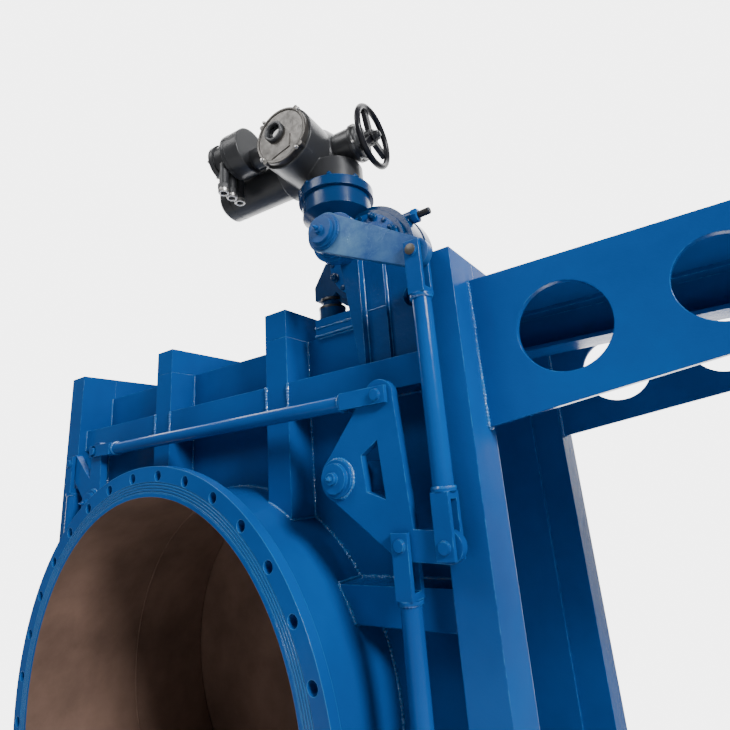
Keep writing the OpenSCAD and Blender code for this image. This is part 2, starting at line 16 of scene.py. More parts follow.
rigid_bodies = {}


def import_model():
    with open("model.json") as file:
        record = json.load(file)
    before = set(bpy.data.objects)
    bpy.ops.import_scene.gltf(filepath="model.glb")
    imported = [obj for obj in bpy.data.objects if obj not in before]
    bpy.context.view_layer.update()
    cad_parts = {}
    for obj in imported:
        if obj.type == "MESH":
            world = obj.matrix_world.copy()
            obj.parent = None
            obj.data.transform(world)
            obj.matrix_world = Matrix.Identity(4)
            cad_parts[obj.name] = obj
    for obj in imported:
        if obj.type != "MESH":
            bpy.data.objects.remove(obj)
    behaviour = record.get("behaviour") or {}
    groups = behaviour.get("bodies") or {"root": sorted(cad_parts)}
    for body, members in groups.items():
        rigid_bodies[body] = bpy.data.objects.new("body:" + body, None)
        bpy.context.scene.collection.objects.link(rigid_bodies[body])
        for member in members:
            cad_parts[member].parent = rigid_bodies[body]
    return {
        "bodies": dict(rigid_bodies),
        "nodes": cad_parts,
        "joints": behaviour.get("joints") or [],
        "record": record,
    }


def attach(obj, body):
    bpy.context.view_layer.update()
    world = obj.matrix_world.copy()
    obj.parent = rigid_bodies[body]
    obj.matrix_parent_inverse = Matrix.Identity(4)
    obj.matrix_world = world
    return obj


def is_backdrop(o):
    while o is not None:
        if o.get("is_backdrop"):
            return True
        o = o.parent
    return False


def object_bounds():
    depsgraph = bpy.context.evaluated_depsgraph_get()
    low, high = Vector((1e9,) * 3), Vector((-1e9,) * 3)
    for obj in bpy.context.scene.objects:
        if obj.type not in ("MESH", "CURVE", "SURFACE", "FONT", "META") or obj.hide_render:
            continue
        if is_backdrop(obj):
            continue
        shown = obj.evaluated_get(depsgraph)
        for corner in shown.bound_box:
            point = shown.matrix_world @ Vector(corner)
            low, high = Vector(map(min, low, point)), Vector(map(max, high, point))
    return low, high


LOG = logging.getLogger("blind_valve")
PHOTO_PIXELS = 730.0
MERGE_DISTANCE = 1e-6
SMOOTH_ANGLE = math.radians(40)
LEFT, RIGHT = (-1, 0, 0), (1, 0, 0)
FRONT, BACK = (0, -1, 0), (0, 1, 0)
DOWN, UP = (0, 0, -1), (0, 0, 1)

Triple = tuple[float, float, float]
Colour = Triple
Sizes = tuple[float, ...]
Pair = tuple[float, float]
Profile = tuple[Pair, ...]
Point = Union[Vector, tuple]
Socket = bpy.types.NodeSocket
Material = bpy.types.Material
Node = bpy.types.Node
Path = Callable[[float], tuple[Vector, Vector, Vector]]


class Body(str, Enum):
    """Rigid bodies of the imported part."""

    VALVE = "valve_body"
    LEVER = "lever"
    CONNECTING_ROD = "connecting_rod"
    CRANK_UPPER_RIGHT = "crank_upper_right"
    TIE_ROD = "tie_rod"
    DOWN_ROD_RIGHT = "down_rod_right"
    CRANK_LOWER_RIGHT = "crank_lower_right"
    CRANK_UPPER_LEFT = "crank_upper_left"
    DOWN_ROD_LEFT = "down_rod_left"
    CRANK_LOWER_LEFT = "crank_lower_left"
    HANDWHEEL = "handwheel"


class Slot(str, Enum):
    """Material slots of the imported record."""

    BLUE = "blue_paint"
    WORN = "worn_paint"
    ACTUATOR = "actuator_paint"
    ALUMINIUM = "cast_aluminium"
    BLACK = "black_enamel"


@dataclass(frozen=True)
class Pattern:
    """Noise in Object coordinates, in cells per metre, and the two values of it that bound a mask."""

    scale: float
    detail: float = 3.0
    rough: float = 0.55
    low: float = 0.3
    high: float = 0.7


class NodeBench:
    """Adds and links nodes in one node tree."""

    def __init__(self, tree: bpy.types.NodeTree) -> None:
        """Starts work on a tree."""
        self.tree = tree

    def add(self, kind: str, inputs: dict | None = None, **settings: object) -> Node:
        """Adds a node.

        Args:
            kind: Blender's type name of the node.
            inputs: Values or sockets for its inputs, by name or number.
            settings: Attributes of the node.

        Returns:
            The new node.
        """
        node = self.tree.nodes.new(kind)
        for key, value in settings.items():
            setattr(node, key, value)
        self.feed(node, inputs or {})
        return node

    def feed(self, node: Node, inputs: dict) -> None:
        """Links sockets to a node's inputs, or sets the inputs' own values.

        Args:
            node: The node.
            inputs: Values or sockets, by the input's name or number.
        """
        for key, value in inputs.items():
            socket = node.inputs[key]
            if isinstance(value, Socket):
                self.tree.links.new(value, socket)
            elif isinstance(value, tuple) and socket.type == "RGBA":
                socket.default_value = (*value, 1.0)
            else:
                socket.default_value = value

    def span(self, value: Socket, low: float, high: float, start: float = 0.0, end: float = 1.0,
             **settings: object) -> Socket:
        """Maps a value from low..high to start..end, clamped."""
        limits = {"From Min": low, "From Max": high, "To Min": start, "To Max": end}
        return self.add("ShaderNodeMapRange", {"Value": value, **limits}, **settings).outputs["Result"]

    def math(self, operation: str, first: object, second: object) -> Socket:
        """Gives the result of an operation on two values."""
        return self.add("ShaderNodeMath", {0: first, 1: second}, operation=operation).outputs[0]

    def vector(self, operation: str, *values: object) -> Node:
        """Adds an operation on vectors."""
        return self.add("ShaderNodeVectorMath", dict(enumerate(values)), operation=operation)


class NodeDesk(NodeBench):
    """Builds one material round a Principled shader."""

    EDGE_COSINES: Pair = (0.9995, 0.93)
    EDGE_SAMPLES: int = 4

    def __init__(self, name: str) -> None:
        """Starts an empty material.

        Args:
            name: Name of the material.
        """
        self.material = bpy.data.materials.new(name)
        self.material.use_nodes = True
        super().__init__(self.material.node_tree)
        self.tree.nodes.clear()
        self.shader = self.add("ShaderNodeBsdfPrincipled")
        self.add("ShaderNodeOutputMaterial", {"Surface": self.shader.outputs["BSDF"]})
        self.place = self.add("ShaderNodeTexCoord").outputs["Object"]

    def noise(self, pattern: Pattern) -> Socket:
        """Gives the value of a pattern."""
        sizes = {"Scale": pattern.scale, "Detail": pattern.detail, "Roughness": pattern.rough}
        return self.add("ShaderNodeTexNoise", {"Vector": self.place, **sizes}).outputs["Fac"]

    def mask(self, pattern: Pattern, start: float = 0.0, end: float = 1.0) -> Socket:
        """Gives a pattern stretched to start..end."""
        return self.span(self.noise(pattern), pattern.low, pattern.high, start, end)

    def mix(self, share: object, first: object, second: object) -> Socket:
        """Mixes two colours."""
        return self.add("ShaderNodeMix", {0: share, 6: first, 7: second}, data_type="RGBA").outputs[2]

    def reach(self, middle: Triple) -> Socket:
        """Gives the distance from a line along Y through a point."""
        spot = self.vector("SUBTRACT", self.place, middle).outputs["Vector"]
        flat = self.vector("MULTIPLY", spot, (1.0, 0.0, 1.0)).outputs["Vector"]
        return self.vector("LENGTH", flat).outputs["Value"]

    def bump(self, height: Socket, strength: float, depth: float, normal: Socket) -> Socket:
        """Gives a normal disturbed by a height."""
        inputs = {"Strength": strength, "Distance": depth, "Height": height, "Normal": normal}
        return self.add("ShaderNodeBump", inputs).outputs["Normal"]

    def edges(self, radius: float) -> tuple[Socket, Socket]:
        """Rounds sharp edges in the shading.

        Args:
            radius: Radius of the rounding in metres.

        Returns:
            The rounded normal, and a mask that is 1 on the edges.
        """
        bevel = self.add("ShaderNodeBevel", {"Radius": radius}, samples=self.EDGE_SAMPLES)
        flat = self.add("ShaderNodeNewGeometry").outputs["Normal"]
        turn = self.vector("DOT_PRODUCT", bevel.outputs["Normal"], flat).outputs["Value"]
        return bevel.outputs["Normal"], self.span(turn, *self.EDGE_COSINES)

    def finish(self, inputs: dict[str, object]) -> Material:
        """Feeds the shader's inputs by name and gives the material."""
        self.feed(self.shader, inputs)
        return self.material


@dataclass(frozen=True)
class Enamel:
    """Sprayed or brushed enamel on steel, with orange peel, uneven tone, and lighter edges: partly edge
    wear, partly painted highlight.
    """

    name: str
    base: Colour
    deep: Colour
    edge: Colour
    rough: Pair = (0.15, 0.26)
    peel: float = 0.12
    peel_depth: float = 0.002
    fine: Pattern = Pattern(210.0, 2.0)
    waves: Pattern = Pattern(14.0)
    wave_share: float = 0.8
    wave_depth: float = 0.006
    clouds: Pattern = Pattern(2.3, 4.0, low=0.35, high=0.68)
    gloss: Pattern = Pattern(9.0, 4.0)
    shine: float = 0.16
    round: float = 0.004
    edge_share: float = 0.5
    edge_wear_and_highlight_spots: Pattern = Pattern(36.0, 5.0, 0.65, 0.42, 0.62)
    bore: Colour | None = None
    bore_r: float = 0.6006
    stain: Pattern = Pattern(3.1, 6.0, 0.62, 0.3, 0.72)
    stain_share: float = 0.45
    primer_rough: float = 0.62

    def build(self) -> Material:
        """Makes the material."""
        desk = NodeDesk(self.name)
        colour = desk.mix(desk.mask(self.clouds), self.base, self.deep)
        normal, edge = desk.edges(self.round)
        # Lighter colour in spots along the edges: partly edge wear, partly painted highlight.
        edge_wear_and_highlight_spots = desk.mask(self.edge_wear_and_highlight_spots, 0.0, self.edge_share)
        colour = desk.mix(desk.math("MULTIPLY", edge, edge_wear_and_highlight_spots), colour, self.edge)
        rough = desk.mask(self.gloss, *self.rough)
        if self.bore:
            colour, rough = self.primed(desk, colour, rough)
        fine = desk.bump(desk.noise(self.fine), self.peel, self.peel_depth, normal)
        broad = desk.bump(desk.noise(self.waves), self.peel * self.wave_share, self.wave_depth, fine)
        return desk.finish({"Base Color": colour, "Roughness": rough, "Normal": broad,
                            "Specular IOR Level": self.shine})

    def primed(self, desk: NodeDesk, colour: Socket, rough: Socket) -> tuple[Socket, Socket]:
        """Puts dull primer on everything inside the bore radius.

        Args:
            desk: Desk of the material.
            colour: Colour outside the bore.
            rough: Roughness outside the bore.

        Returns:
            The colour and roughness with the primer.
        """
        inside = desk.math("LESS_THAN", desk.reach((0.0, 0.0, 0.0)), self.bore_r)
        stained = tuple(self.stain_share * channel for channel in self.bore)
        primer = desk.mix(desk.mask(self.stain), self.bore, stained)
        dull = desk.math("MAXIMUM", desk.math("MULTIPLY", inside, self.primer_rough), rough)
        return desk.mix(inside, colour, primer), dull


@dataclass(frozen=True)
class WornEnamel:
    """Thin enamel with cloudy light patches: partly rubbed through to bare steel, partly painted
    reflection.
    """

    name: str
    paint: Colour
    steel: Colour
    patches: Pattern = Pattern(7.0, 6.0, 0.62, 0.42, 0.62)
    patch_share: float = 0.85
    specks: Pattern = Pattern(95.0, 4.0, 0.7, 0.5, 0.68)
    speck_share: float = 0.7
    round: float = 0.003
    edge_share: float = 0.8
    boss: Triple = (0.603, 0.0, 1.312)
    boss_span: Pair = (0.056, 0.060)
    boss_share: float = 0.1
    fade_span: Pair = (0.10, 0.27)
    fade_share: float = 0.45
    grain: Pattern = Pattern(160.0)
    grain_strength: float = 0.16
    grain_depth: float = 0.002
    gloss: Pattern = Pattern(24.0)
    rough: Pair = (0.26, 0.5)
    metallic: float = 0.55
    shine: float = 0.25

    def build(self) -> Material:
        """Makes the material."""
        desk = NodeDesk(self.name)
        normal, edge = desk.edges(self.round)
        rubbed = desk.math("MULTIPLY", edge, self.edge_share)
        worn = desk.math("MAXIMUM", desk.mask(self.patches, 0.0, self.patch_share), rubbed)
        worn = desk.math("MAXIMUM", worn, desk.mask(self.specks, 0.0, self.speck_share))
        reach = desk.reach(self.boss)
        worn = desk.math("MULTIPLY", worn, desk.span(reach, *self.boss_span, self.boss_share, 1.0))
        # Fewer light patches away from the boss, so the lever is darker towards the pin.
        worn = desk.math("MULTIPLY", worn, desk.span(reach, *self.fade_span, 1.0, self.fade_share))
        grain = desk.bump(desk.noise(self.grain), self.grain_strength, self.grain_depth, normal)
        return desk.finish({"Base Color": desk.mix(worn, self.paint, self.steel), "Normal": grain,
                            "Roughness": desk.mask(self.gloss, *self.rough),
                            "Metallic": desk.span(worn, 0.0, 1.0, 0.0, self.metallic),
                            "Specular IOR Level": self.shine})


@dataclass(frozen=True)
class Metal:
    """Bare or cast metal with fine grain."""

    name: str
    base: Colour
    dark: Colour
    rough: Pair = (0.28, 0.45)
    metallic: float = 0.9
    grain: Pattern = Pattern(260.0, 2.0)
    grain_strength: float = 0.12
    grain_depth: float = 0.001
    clouds: Pattern = Pattern(11.0, 5.0, 0.6, 0.34, 0.7)
    gloss: Pattern = Pattern(48.0)
    round: float = 0.0015
    edge_share: float = 0.35

    def build(self) -> Material:
        """Makes the material."""
        desk = NodeDesk(self.name)
        normal, edge = desk.edges(self.round)
        colour = desk.mix(desk.mask(self.clouds), self.base, self.dark)
        colour = desk.mix(desk.math("MULTIPLY", edge, self.edge_share), colour, self.base)
        grain = desk.bump(desk.noise(self.grain), self.grain_strength, self.grain_depth, normal)
        return desk.finish({"Base Color": colour, "Roughness": desk.mask(self.gloss, *self.rough),
                            "Normal": grain, "Metallic": self.metallic})


@dataclass(frozen=True)
class Glass:
    """Dark glass of the window port."""

    name: str
    tint: Colour
    dust: Pattern = Pattern(18.0)
    dust_share: float = 2.0
    smears: Pattern = Pattern(30.0, 4.0, low=0.4)
    rough: Pair = (0.04, 0.12)
    coat: float = 0.8

    def build(self) -> Material:
        """Makes the material."""
        desk = NodeDesk(self.name)
        dusty = tuple(self.dust_share * channel for channel in self.tint)
        return desk.finish({"Base Color": desk.mix(desk.noise(self.dust), self.tint, dusty),
                            "Roughness": desk.mask(self.smears, *self.rough), "Coat Weight": self.coat})


class Paintshop:
    """Builds every finish once and hands them out."""

    def __init__(self) -> None:
        """Makes all the materials."""
        blue = (0.002, 0.070, 0.276)
        deep = (0.0015, 0.051, 0.212)
        # Lighter blue of edges and weld glints: partly edge wear, partly painted highlight.
        pale = (0.07, 0.27, 0.55)
        brown = (0.185, 0.115, 0.088)
        plain = (blue, deep, pale)
        self.blue = Enamel("blue_enamel", *plain).build()
        self.bore = Enamel("blue_enamel_with_primed_bore", *plain, bore=brown).build()
        self.disc = Enamel("blue_enamel_with_primed_disc", *plain, bore=brown, bore_r=0.645).build()
        # Flanges: lighter edges almost everywhere, which are painted highlights along the rim and the
        # grooves.
        self.flange_edge_highlights = Enamel(
            "blue_enamel_with_painted_edge_highlights", blue, deep, (0.07, 0.26, 0.54), round=0.003, edge_share=0.6,
            edge_wear_and_highlight_spots=Pattern(36.0, 5.0, 0.65, 0.1, 0.3)).build()
        # Gearbox stand: a darker copy of the blue enamel, which is painted shade.
        self.cast = Enamel(
            "darker_blue_enamel_of_painted_shade_on_stand", (0.0014, 0.050, 0.200), (0.001, 0.034, 0.140), pale, peel=0.3,
            fine=Pattern(90.0, 2.0), shine=0.3).build()
        # Input flange, gear case and gearbox bolts: a darker copy of the blue enamel, which is painted
        # shade under the actuator.
        self.shaded_blue = Enamel(
            "darker_blue_enamel_of_painted_shade_under_actuator", (0.0011, 0.032, 0.118), (0.0008, 0.022, 0.082), pale, shine=0.3,
            edge_share=0.25).build()
        # Weld beads: a lighter blue than the plates, which is painted highlight on the beads.
        self.weld = Enamel(
            "lighter_blue_enamel_with_painted_glints", (0.012, 0.13, 0.37), blue, pale, rough=(0.06, 0.16), peel=0.8,
            fine=Pattern(150.0, 2.0), shine=1.0, edge_share=0.25).build()
        # Lever: light steel-blue patches, partly rubbed-through wear and partly painted reflection.
        self.worn = WornEnamel("worn_blue_enamel_with_painted_sheen", (0.002, 0.055, 0.215), (0.095, 0.21, 0.355)).build()
        self.coat = Enamel(
            "grey_actuator_coat", (0.031, 0.032, 0.035), (0.019, 0.020, 0.022), (0.12, 0.125, 0.13),
            rough=(0.28, 0.42), peel=0.1, round=0.009, shine=0.4).build()
        self.black = Enamel(
            "black_wheel_enamel", (0.012, 0.012, 0.015), (0.006, 0.006, 0.008), (0.06, 0.06, 0.07),
            rough=(0.22, 0.38), peel=0.06).build()
        # The cover's darker tone is mixed in at random by cloud noise.
        cover, cover_dark_tone = (0.088, 0.082, 0.075), (0.042, 0.039, 0.036)
        self.aluminium = Metal("pale_cast_cover", cover, cover_dark_tone, metallic=0.6).build()
        self.steel = Metal("bare_steel", (0.56, 0.55, 0.53), (0.33, 0.32, 0.31)).build()
        soot, black = (0.045, 0.047, 0.05), (0.02, 0.02, 0.022)
        self.dark_steel = Metal("blackened_steel", soot, black, metallic=0.6).build()
        self.glass = Glass("dark_window_glass", (0.01, 0.011, 0.013)).build()


def stand(name: str, data: bpy.types.ID) -> bpy.types.Object:
    """Makes an object of a mesh, a lamp or a camera, and puts it in the scene."""
    made = bpy.data.objects.new(name, data)
    bpy.context.scene.collection.objects.link(made)
    return made


def place(origin: Point, axis: Point) -> Matrix:
    """Gives the matrix that sets a shape made along +Z at an origin, along an axis."""
    turn = Vector(UP).rotation_difference(Vector(axis).normalized()).to_matrix().to_4x4()
    return Matrix.Translation(Vector(origin)) @ turn


class Workpiece:
    """One mesh under construction, built up from bmesh operators."""

    WASHER_T: float = 0.14
    WASHER_R: float = 0.8
    WASHER_CHAMFER: float = 0.3
    HEAD_CHAMFER: float = 0.09
    SHANK_R: float = 0.32
    SHANK_CHAMFER: float = 0.06
    SEAM_PITCH: float = 0.009
    ARC_PITCH: float = 0.010
    BEAD_SIDES: int = 7
    RIPPLE: float = 0.20
    RIPPLE_STEPS: float = 2.0
    LEAST_STEPS: int = 4
    DRIFT: float = 0.55
    DRIFT_SCALE: float = 45.0
    SEED_SCALE: float = 7.3

    def __init__(self) -> None:
        """Starts an empty mesh."""
        self.mesh = bmesh.new()

    def turned(self, profile: Iterable[Pair], where: Matrix, steps: int) -> None:
        """Turns a profile of radius and height about the local Z axis.

        Args:
            profile: Radius and height pairs, from one end to the other.
            where: Place of the local frame.
            steps: Steps of the full turn.
        """
        points = [self.mesh.verts.new((radius, 0.0, height)) for radius, height in profile]
        lines = [self.mesh.edges.new(pair) for pair in zip(points, points[1:])]
        made = bmesh.ops.spin(self.mesh, geom=points + lines, cent=(0, 0, 0), axis=UP, angle=2 * math.pi,
                              steps=steps, use_merge=True)
        last = [v for v in made["geom_last"] if isinstance(v, bmesh.types.BMVert)]
        verts = self.reached(points + last)
        bmesh.ops.remove_doubles(self.mesh, verts=verts, dist=MERGE_DISTANCE)
        self.settle([v for v in verts if v.is_valid], where)

    def ring(self, profile: Profile, where: Matrix, steps: int) -> None:
        """Turns a closed profile that is given without its last point."""
        self.turned([*profile, profile[0]], where, steps)

    def reached(self, seeds: list) -> list:
        """Gives every vertex joined to the seeds."""
        found, stack = set(), [v for v in seeds if v.is_valid]
        while stack:
            vert = stack.pop()
            if vert not in found:
                found.add(vert)
                stack += [edge.other_vert(vert) for edge in vert.link_edges]
        return list(found)

    def settle(self, verts: list, where: Matrix) -> None:
        """Turns faces outwards and moves new vertices to their place."""
        faces = list({face for vert in verts for face in vert.link_faces})
        bmesh.ops.recalc_face_normals(self.mesh, faces=faces)
        bmesh.ops.transform(self.mesh, matrix=where, verts=verts)

    def prism(self, where: Matrix, sides: int, radius: float, height: float, chamfer: float = 0.0,
              turn: float = 0.0) -> None:
        """Adds a chamfered prism on the local Z axis, standing on the origin.

        Args:
            where: Place of the local frame.
            sides: Number of sides.
            radius: Radius over the corners.
            height: Height along Z.
            chamfer: Width of the chamfer round the top.
            turn: Turn about Z in radians.
        """
        lift = Matrix.Rotation(turn, 4, "Z") @ Matrix.Translation((0, 0, height / 2))
        made = bmesh.ops.create_cone(self.mesh, cap_ends=True, segments=sides, radius1=radius,
                                     radius2=radius, depth=height, matrix=lift)
        verts = made["verts"]
        if chamfer:
            low = height - MERGE_DISTANCE
            top = [e for v in verts for e in v.link_edges if all(end.co.z > low for end in e.verts)]
            bmesh.ops.bevel(self.mesh, geom=list(set(top)), offset=chamfer, offset_type="OFFSET",
                            affect="EDGES", segments=2, profile=0.5, material=-1)
            verts = self.reached([v for v in verts if v.is_valid])
        self.settle(verts, where)

    def bolt(self, where: Matrix, across: float, height: float, shank: float = 0.0,
             turn: float = 0.3) -> None:
        """Adds a hexagon bolt head on its washer, with its shank end where one shows.

        Args:
            where: Place of the bearing face, along the bolt.
            across: Width over the flats.
            height: Height of the head.
            shank: Length of the shank beyond the head, or 0.
            turn: Turn of the hexagon in radians.
        """
        thin = self.WASHER_T * across
        self.prism(where, 28, self.WASHER_R * across, thin, self.WASHER_CHAMFER * thin)
        head = where @ Matrix.Translation((0, 0, thin))
        self.prism(head, 6, across / math.sqrt(3), height, self.HEAD_CHAMFER * across, turn)
        if shank:
            self.prism(head, 20, self.SHANK_R * across, height + shank, self.SHANK_CHAMFER * across)

    def bead(self, length: float, radius: float, pitch: float, path: Path, closed: bool = False) -> None:
        """Lays a rippled weld bead by rolling a grid into a tube along a path.

        Args:
            length: Length of the path.
            radius: Half width of the bead.
            pitch: Length of one ripple.
            path: Gives the point and two cross directions at a distance along the path.
            closed: Whether the path ends where it starts.
        """
        steps = max(self.LEAST_STEPS, int(self.RIPPLE_STEPS * length / pitch))
        made = bmesh.ops.create_grid(self.mesh, x_segments=steps, y_segments=self.BEAD_SIDES, size=0.5)
        seed = path(0.0)[0] * self.SEED_SCALE
        for vert in made["verts"]:
            along = (vert.co.x + 0.5) * length
            turn = (vert.co.y + 0.5) * 2 * math.pi
            point, first, second = path(along)
            swell = radius * self.ripple(min(along, length - along) if closed else along, pitch, seed)
            vert.co = point + swell * (math.cos(turn) * first + math.sin(turn) * second)
        bmesh.ops.remove_doubles(self.mesh, verts=made["verts"], dist=MERGE_DISTANCE)
        verts = [v for v in made["verts"] if v.is_valid]
        rims = list({e for v in verts for e in v.link_edges if e.is_boundary})
        bmesh.ops.holes_fill(self.mesh, edges=rims, sides=self.BEAD_SIDES)
        self.settle(verts, Matrix.Identity(4))

    def seam(self, start: Point, end: Point, radius: float) -> None:
        """Lays a straight weld bead.

        Args:
            start: One end of the bead.
            end: Other end of the bead.
            radius: Half width of the bead.
        """
        origin = Vector(start)
        run = Vector(end) - origin
        first = run.orthogonal().normalized()
        second = run.cross(first).normalized()

        def path(along: float) -> tuple[Vector, Vector, Vector]:
            """Gives the point and cross directions at a distance along the line."""
            return origin + run * (along / run.length), first, second

        self.bead(run.length, radius, self.SEAM_PITCH, path)

    def arc_seam(self, centre: Point, around: float, start: float, end: float, radius: float) -> None:
        """Lays a weld bead on an arc about a line along Y.

        Args:
            centre: Centre of the arc.
            around: Radius of the arc.
            start: First angle from +X towards +Z, in radians.
            end: Last angle.
            radius: Half width of the bead.
        """
        axis = Vector(BACK)

        def path(along: float) -> tuple[Vector, Vector, Vector]:
            """Gives the point and cross directions at a distance along the arc."""
            angle = start + along / around
            out = Vector((math.cos(angle), 0.0, math.sin(angle)))
            return Vector(centre) + around * out, out, axis

        self.bead(around * (end - start), radius, self.ARC_PITCH, path)

    def ring_seam(self, centre: Point, axis: Point, around: float, radius: float,
                  pitch: float = 0.011) -> None:
        """Lays a weld bead round a circle.

        Args:
            centre: Centre of the circle.
            axis: Axis of the circle.
            around: Radius of the circle.
            radius: Half width of the bead.
            pitch: Length of one ripple.
        """
        normal = Vector(axis).normalized()
        first = normal.orthogonal().normalized()
        second = normal.cross(first)

        def path(along: float) -> tuple[Vector, Vector, Vector]:
            """Gives the point and cross directions at a distance along the circle."""
            out = math.cos(along / around) * first + math.sin(along / around) * second
            return Vector(centre) + around * out, out, normal

        self.bead(2 * math.pi * around, radius, pitch, path, True)

    def ripple(self, distance: float, pitch: float, seed: Vector) -> float:
        """Gives the swell of a weld bead at a distance along it."""
        wave = self.RIPPLE * math.cos(2 * math.pi * distance / pitch)
        drift = self.DRIFT * noise.noise(seed + Vector((distance * self.DRIFT_SCALE, 0.3, 0.7)))
        return 1.0 + wave + drift

    def done(self, name: str, finish: Material, body: Body = Body.VALVE,
             slot: Slot = Slot.BLUE) -> None:
        """Closes the mesh and makes it a piece that rides on a body.

        Args:
            name: Name of the piece.
            finish: Its material.
            body: Body that carries it.
            slot: Record's slot of the piece; not used.
        """
        data = bpy.data.meshes.new(name)
        self.mesh.to_mesh(data)
        self.mesh.free()
        data.materials.append(finish)
        data.polygons.foreach_set("use_smooth", [True] * len(data.polygons))
        data.set_sharp_from_angle(angle=SMOOTH_ANGLE)
        piece = stand(name, data)
        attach(piece, body.value)
        LOG.info("%s: %d faces on %s", name, len(data.polygons), body.value)


@dataclass(frozen=True)
class Plan:
    """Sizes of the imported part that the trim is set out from, in metres."""

    bore_r: float = 0.600
    pipe_r: float = 0.612
    flange_t: float = 0.030
    length: float = 1.400
    seam_y: float = 0.370
    plate_y: float = 0.355
    plate_back: float = 0.380
    plate_h: float = 1.065
    beam_z: float = 0.825
    beam_top: float = 0.911
    rib_in: float = 0.258
    rib_out: float = 0.352
    rib_y: float = 0.250
    post_x: float = 0.865
    post_out: float = 0.965
    gusset_z: float = 0.242
    gusset_top: float = 0.335
    arm_y: float = 0.318
    arm_t: float = 0.020
    arm_top: float = 1.090
    arm_low: float = 0.694
    arm_end: float = 2.465
    arm_end_low: float = 0.918
    clamp: float = 0.603
    link_y: float = 0.175
    lever_front: float = 0.1625
    boss_front: float = 0.1265
    fork_half: float = 0.028
    fork_len: float = 0.124
    rod_r: float = 0.025
    tie_rod_r: float = 0.022
    gear_z: float = 1.312
    cover_y: float = 0.362
    stop_y: float = 0.4303
    stop_z: float = 1.415
    stop_boss: float = 0.165
    stop_end: float = 0.226
    base_x: float = 0.403
    base_y: float = 0.340
    base_top: float = 1.125
    foot_x: float = 0.166
    foot_y: float = 0.370
    foot_mid: float = 0.395
    foot_low: float = 1.208
    fin_y: float = 0.270
    fin_right: float = 0.643
    leg_right: float = 0.715
    leg_y: float = 0.295
    web_right: float = 0.857
    web_y: float = 0.310
    worm: Pair = (0.501, 0.372)
    yaw: float = math.radians(5)
    input_z: float = 1.580
    act_z: float = 1.743
    window: Pair = (-0.081, -0.200)
    port: Pair = (-0.024, 0.022)
    terminal_end: float = 0.447
    terminal_y: float = -0.110
    terminal_z: float = 1.830
    motor_y: float = 0.044
    motor_z: float = 1.769
    motor_end: float = 0.556
    gland: Pair = (-0.394, 1.678)
    gland_pitch: float = 0.042
    wheel_z: float = 1.753
    wheel_x: float = 0.168
    neck_r: float = 0.062
    neck_end: float = 0.128

    def pipe_z(self, x: float) -> float:
        """Gives the height of the pipe's outside at a distance from the middle."""
        return math.sqrt(self.pipe_r ** 2 - x ** 2)

    def actuator(self) -> Matrix:
        """Gives the actuator's own frame, on the worm axis."""
        return Matrix.Translation((*self.worm, 0.0)) @ Matrix.Rotation(self.yaw, 4, "Z")


@dataclass(frozen=True)
class BoltRing:
    """Equal bolts on a circle, with the first one's angle in steps and the sizes of a head."""

    count: int
    first: float
    radius: float
    head: Sizes

    def spots(self) -> Iterator[Triple]:
        """Gives the angle and the two coordinates of each bolt."""
        for index in range(self.count):
            angle = (index + self.first) * 2 * math.pi / self.count
            yield angle, self.radius * math.cos(angle), self.radius * math.sin(angle)


@dataclass(frozen=True)
class Trim:
    """What the trim of every sub-assembly is made from."""

    plan: Plan
    shop: Paintshop


